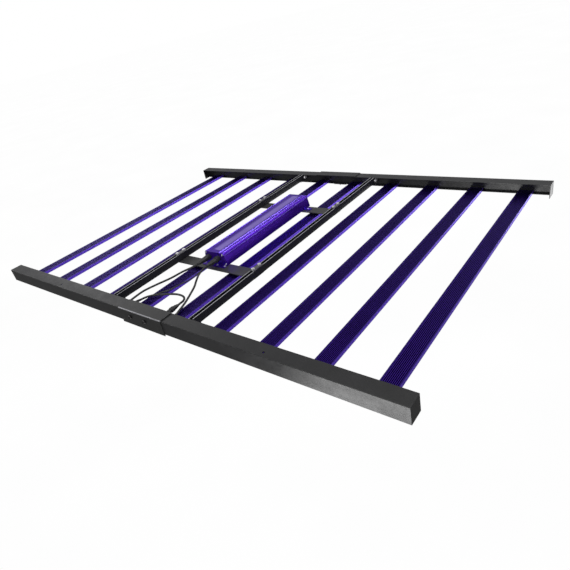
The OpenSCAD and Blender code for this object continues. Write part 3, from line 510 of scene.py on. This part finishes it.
left_path = placed([
    (-42, -250, 47), (-42, -276, 47), (-52, -296, 44), (-71, -320, 39), (-90, -357, 33), (-119, -401, 27),
    (-138, -440, 23), (-143, -480, 19), (-143, -510, 17.5), (-143, -546.5, 17)])
right_path = placed([
    (2, -250, 47), (2, -276, 47), (-3, -291, 43), (0, -314, 38), (12, -338, 34), (29, -365, 30),
    (46, -404, 25), (57, -435, 20.5), (71, -475, 19), (PLUG_X, -499, PLUG_Z)])
link_path = placed([
    (-116, -546.5, 17), (-116, -510, 17), (-113, -487, 18), (-100, -464, 22), (-80, -451, 26), (-48, -438, 29),
    (-11, -427, 32), (14, -423, 34), (34, -423, 34.5), (48, -426, 34), (55, -431, 32.5), (56, -437, 29.5),
    (51, -442, 25.5), (46, -446, 22), (45, -452, 21), (45, -460, 21)])
dim_path = placed([
    (-20, -219, 33), (-20, -232, 33), (-20, -290, 32), (-21, -338, 29), (-36, -367, 26), (-50, -397, 23),
    (-78, -427, 20), (-108, -458, 17), (-126, -490, 16), (-128, -546.5, 15.5)])
for name, path, radius, old in (
    ("left_feed_lead", left_path, CABLE_R, "feed_cable_left"),
    ("link_lead", link_path, CABLE_R, "link_cable"),
    ("dimming_lead", dim_path, THIN_R, "link_cable"),
    ("right_feed_lead", right_path, CABLE_R, "feed_cable_right"),
):
    v, f = tube(curve_points(path), radius)
    o = add(name, v, f, CABLE, "left_half", True)
    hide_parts(old)

# The right feed lead's plug: a short collar, then the body up to the socket
plug_path = [Vector((PLUG_X, y, PLUG_Z - RAIL_H)) * MM for y in (-496, -497, -503, -504, -511.8)]
v, f = tube(plug_path, lambda t: (3.7 if t < 0.2 else 4.8) * MM, 24)
add("right_feed_plug", v, f, BLACK, "left_half")


# ---------- LED side ----------

def block(lo, hi):
    """Corners and outward faces of a box."""
    v = [(x, y, z) for z in (lo[2], hi[2]) for y in (lo[1], hi[1]) for x in (lo[0], hi[0])]
    return v, [(0, 2, 3, 1), (4, 5, 7, 6), (0, 1, 5, 4), (1, 3, 7, 5), (3, 2, 6, 7), (2, 0, 4, 6)]


def merge(shapes):
    """One mesh of several, with the material index of each face."""
    verts, faces, picks = [], [], []
    for v, f, mat in shapes:
        faces += [tuple(i + len(verts) for i in face) for face in f]
        verts += v
        picks += [mat] * len(f)
    return verts, faces, picks


def led_array(side, bars):
    """Two staggered rows of chips on each board: a pale package with a phosphor or deep red window."""
    lo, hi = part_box("led_chips_" + side)
    z0, z1 = lo[2], hi[2]
    y1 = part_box("led_boards_" + side)[1][1] - 14 * MM
    pitch = 11.5 * MM
    count = int(2 * y1 / pitch)
    package, window, proud = 1.5 * MM, 1.15 * MM, 0.12 * MM
    shapes = []
    for bar in bars:
        lo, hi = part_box("heatsink_bar_%d" % bar)
        x0 = (lo[0] + hi[0]) / 2
        for row in (-1, 1):
            for k in range(count):
                x = x0 + row * 7 * MM
                y = (k - (count - 1) / 2 + row * 0.25) * pitch
                v, f = block((x - package, y - package, z0 + proud), (x + package, y + package, z1))
                shapes.append((v, f, 0))
                v, f = block((x - window, y - window, z0), (x + window, y + window, z0 + proud))
                deep_red = k % 6 == (2 if row > 0 else 5)
                shapes.append((v, f, 2 if deep_red else 1))
    v, f, picks = merge(shapes)
    o = add("led_array_" + side, v, f, PACKAGE, side + "_half")
    o.data.materials.append(PHOSPHOR)
    o.data.materials.append(DEEP_RED)
    o.data.polygons.foreach_set("material_index", picks)
    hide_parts("led_chips_" + side)


def board_connectors(side, bars):
    """Push-in wire connectors with two entries at both ends of each board."""
    lo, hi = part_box("led_boards_" + side)
    face = lo[2]
    y1 = hi[1] - 6 * MM
    front = face - 0.6 * MM
    shapes = []
    for bar in bars:
        lo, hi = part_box("heatsink_bar_%d" % bar)
        x0 = (lo[0] + hi[0]) / 2
        for end in (-1, 1):
            y = end * y1
            v, f = block((x0 - 4 * MM, y - 2.6 * MM, front), (x0 + 4 * MM, y + 2.6 * MM, face))
            shapes.append((v, f, 0))
            for dx in (-2, 2):
                v, f = block((x0 + (dx - 0.8) * MM, y - 1.4 * MM, face - 0.8 * MM),
                             (x0 + (dx + 0.8) * MM, y + 1.4 * MM, front))
                shapes.append((v, f, 1))
    v, f, picks = merge(shapes)
    o = add("board_connectors_" + side, v, f, PACKAGE, side + "_half")
    o.data.materials.append(BLACK)
    o.data.polygons.foreach_set("material_index", picks)


# ---------- driver ribs and bracket washers ----------

def rib(x, z, tilt, y0, y1):
    """A half-round rib along Y on a face whose normal leans by tilt from +Z towards +X."""
    half, height, root, arc = 1.0 * MM, 0.9 * MM, 0.3 * MM, 8
    lean = Matrix.Rotation(tilt, 3, "Y")
    angles = [math.pi * k / arc for k in range(arc + 1)]
    ring = [Vector((math.cos(a) * half, 0, math.sin(a) * height)) for a in angles]
    ring += [Vector((-half, 0, -root)), Vector((half, 0, -root))]
    n = len(ring)
    verts = [Vector((x, y, z)) + lean @ p for y in (y0, y1) for p in ring]
    faces = [(n + k, n + (k + 1) % n, (k + 1) % n, k) for k in range(n)]
    return verts, faces + [tuple(range(n)), tuple(range(n, 2 * n))[::-1]], 0


def washer(x, y, z, r0, r1, t):
    """A washer with its axis along X, from x to x + t."""
    sides = 40
    verts, faces = [], []
    for k in range(sides):
        a = 2 * math.pi * k / sides
        for r, dx in ((r0, 0), (r1, 0), (r1, t), (r0, t)):
            verts.append(Vector((x + dx, y + r * math.cos(a), z + r * math.sin(a))))
    for k in range(sides):
        i, j = 4 * k, 4 * ((k + 1) % sides)
        for c in range(4):
            d = (c + 1) % 4
            faces.append((i + c, j + c, j + d, i + d))
    return verts, faces, 0


# Four ribs on the case's top and one on each side ledge, all sunk a little into the case; their lighter purple
# is a painted highlight along the ridges
SUNK = 0.1 * MM
LEDGE_X = 44.5 * MM - SUNK
LEDGE_DROP = 8 * MM
lo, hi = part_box("driver_case")
case_x, case_top = (lo[0] + hi[0]) / 2, hi[2]
ribs = [rib(case_x + dx * MM, case_top - SUNK, 0, lo[1], hi[1]) for dx in (-38, 22, 26, 38)]
ribs += [rib(case_x + s * LEDGE_X, case_top - LEDGE_DROP, s * math.pi / 2, lo[1], hi[1])
         for s in (-1, 1)]
v, f, _ = merge(ribs)
add("driver_ribs", v, f, RIDGE, "left_half")

# A washer under the head and the nut of each bracket bolt
BEAM_X, BEAM_HALF = 176 * MM, 8 * MM
BOLT_Z = (33 - RAIL_H) * MM
HEX_HALF_FLATS = 5.2 * MM
WASHER_T = 1.2 * MM
for side, sign in (("left", -1), ("right", 1)):
    bolt_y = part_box("beam_bolts_" + side)[1][1] - HEX_HALF_FLATS
    rings = []
    for end in (-1, 1):
        for out in (-1, 1):
            x = sign * BEAM_X + out * BEAM_HALF
            start = x if out > 0 else x - WASHER_T
            rings.append(washer(start, end * bolt_y, BOLT_Z, 2.6 * MM, 8.5 * MM, WASHER_T))
    v, f, _ = merge(rings)
    add("bracket_washers_" + side, v, f, STEEL, side + "_half")

for side, bars in (("left", range(1, 6)), ("right", range(6, 11))):
    led_array(side, bars)
    board_connectors(side, bars)

# Edge rounding by node name: the start of the name, width in metres and segments
rounding = (
    (("near_rail", "far_rail", "end_plates", "splice", "cross_plate", "saddle", "driver_beam",
      "beam_brackets"), 0.0005, 2),
    (("heatsink",), 0.00035, 1),
    (("driver_case", "driver_end", "driver_feet", "bar_end_caps"), 0.0006, 2),
    (("cross_bolts", "cross_nuts", "beam_bolts", "sleeve_screws", "cable_glands", "output", "inline"),
     0.0006, 3),
)
for n in nodes.values():
    if n.hide_render:
        continue
    for starts, width, segments in rounding:
        if n.name.startswith(starts):
            bevel(n, width, segments)


# ---------- stage, light and camera ----------

FLOOR_Z = -0.996
FLOOR_HALF = 60
corners = [(x * FLOOR_HALF, y * FLOOR_HALF, FLOOR_Z) for x, y in ((-1, -1), (1, -1), (1, 1), (-1, 1))]
floor = bpy.data.meshes.new("studio_floor")
floor.from_pydata(corners, [], [(0, 1, 2, 3)])
floor_obj = bpy.data.objects.new("studio_floor", floor)
bpy.context.scene.collection.objects.link(floor_obj)
# The floor is pale to the camera and dim in reflections, as a small light table in a dark room is
fm = Mat("studio_light_table")
seen = fm.t.nodes.new("ShaderNodeLightPath").outputs["Is Camera Ray"]
fm.set(color=(0, 0, 0), rough=1.0, spec=0.0)
fm.link(fm.mix(fm.ramp(fm.noise(1.5, 3), 0.3, 0.7, 0.0, 1.0), (0.985, 0.985, 0.985), (1, 1, 1)),
        fm.b.inputs["Emission Color"])
fm.link(fm.ramp(seen, 0.0, 1.0, 0.17, 1.0), fm.b.inputs["Emission Strength"])
floor.materials.append(fm.m)

# A dim room, brighter overhead
world = bpy.data.worlds.new("studio")
world.use_nodes = True
wt = world.node_tree
wcoord = wt.nodes.new("ShaderNodeTexCoord")
sep = wt.nodes.new("ShaderNodeSeparateXYZ")
ramp = wt.nodes.new("ShaderNodeValToRGB")
wt.links.new(wcoord.outputs["Generated"], sep.inputs[0])
wt.links.new(sep.outputs["Z"], ramp.inputs["Fac"])
wt.links.new(ramp.outputs["Color"], wt.nodes["Background"].inputs["Color"])
ramp.color_ramp.elements[0].position, ramp.color_ramp.elements[1].position = 0.45, 0.95
ramp.color_ramp.elements[0].color = (0.40, 0.40, 0.41, 1)
ramp.color_ramp.elements[1].color = (0.5, 0.5, 0.5, 1)
# Behind the object the camera sees the same pale backdrop as the floor
seen = wt.nodes.new("ShaderNodeLightPath")
backdrop = wt.nodes.new("ShaderNodeBackground")
backdrop.inputs["Color"].default_value = (1, 1, 1, 1)
choose = wt.nodes.new("ShaderNodeMixShader")
wt.links.new(seen.outputs["Is Camera Ray"], choose.inputs["Fac"])
wt.links.new(wt.nodes["Background"].outputs[0], choose.inputs[1])
wt.links.new(backdrop.outputs[0], choose.inputs[2])
wt.links.new(choose.outputs[0], wt.nodes["World Output"].inputs["Surface"])
bpy.context.scene.world = world


def area(name, place, target, size, power):
    """A rectangular light at place that faces target, unseen by the camera."""
    light = bpy.data.lights.new(name, "AREA")
    light.shape = "RECTANGLE"
    light.size, light.size_y = size
    light.energy = power
    o = bpy.data.objects.new(name, light)
    o.location = place
    o.rotation_euler = (Vector(target) - Vector(place)).to_track_quat("-Z", "Y").to_euler()
    o.visible_camera = False
    bpy.context.scene.collection.objects.link(o)


area("overhead", (0.2, 0.0, 3.1), (0, 0, 0), (3.0, 2.4), 26)
area("left_softbox", (-3.6, 1.4, 1.25), (-0.2, 0, 0), (1.6, 1.2), 5.5)
area("front_strip", (-0.2, -2.3, 1.3), (0.5, -0.55, 0), (1.3, 0.7), 12)
area("front_left_strip", (-2.4, -1.6, 0.9), (-0.6, -0.55, 0), (1.3, 0.7), 10)
area("back_right_strip", (1.8, 2.3, 2.1), (0.3, 0, 0), (1.6, 0.9), 30)
area("low_right_strip", (1.9, 1.9, -0.85), (0.2, 0, 0), (2.2, 0.35), 7)
area("low_front", (0.54, -1.25, -0.67), (0.62, -0.55, -0.03), (1.0, 0.5), 9)

# Camera at the angle of the reference view: place, view direction, roll and focal length
forward = Vector((-0.59595, 0.62750, -0.50108)).normalized()
up = Vector((-0.17191, 0.50984, 0.84292))
right = forward.cross(up).normalized()
up = right.cross(forward)
cam = bpy.data.cameras.new("camera")
cam.sensor_width = 36
cam.lens = 30.19
cam.clip_end = 300
cam_obj = bpy.data.objects.new("camera", cam)
cam_obj.matrix_world = Matrix.Translation((1.1206, -1.1198, 0.6684)) @ Matrix(
    (right, up, -forward)).transposed().to_4x4()
bpy.context.scene.collection.objects.link(cam_obj)
bpy.context.scene.camera = cam_obj
bpy.context.scene.view_settings.view_transform = "Standard"
bpy.context.scene.view_settings.look = "None"
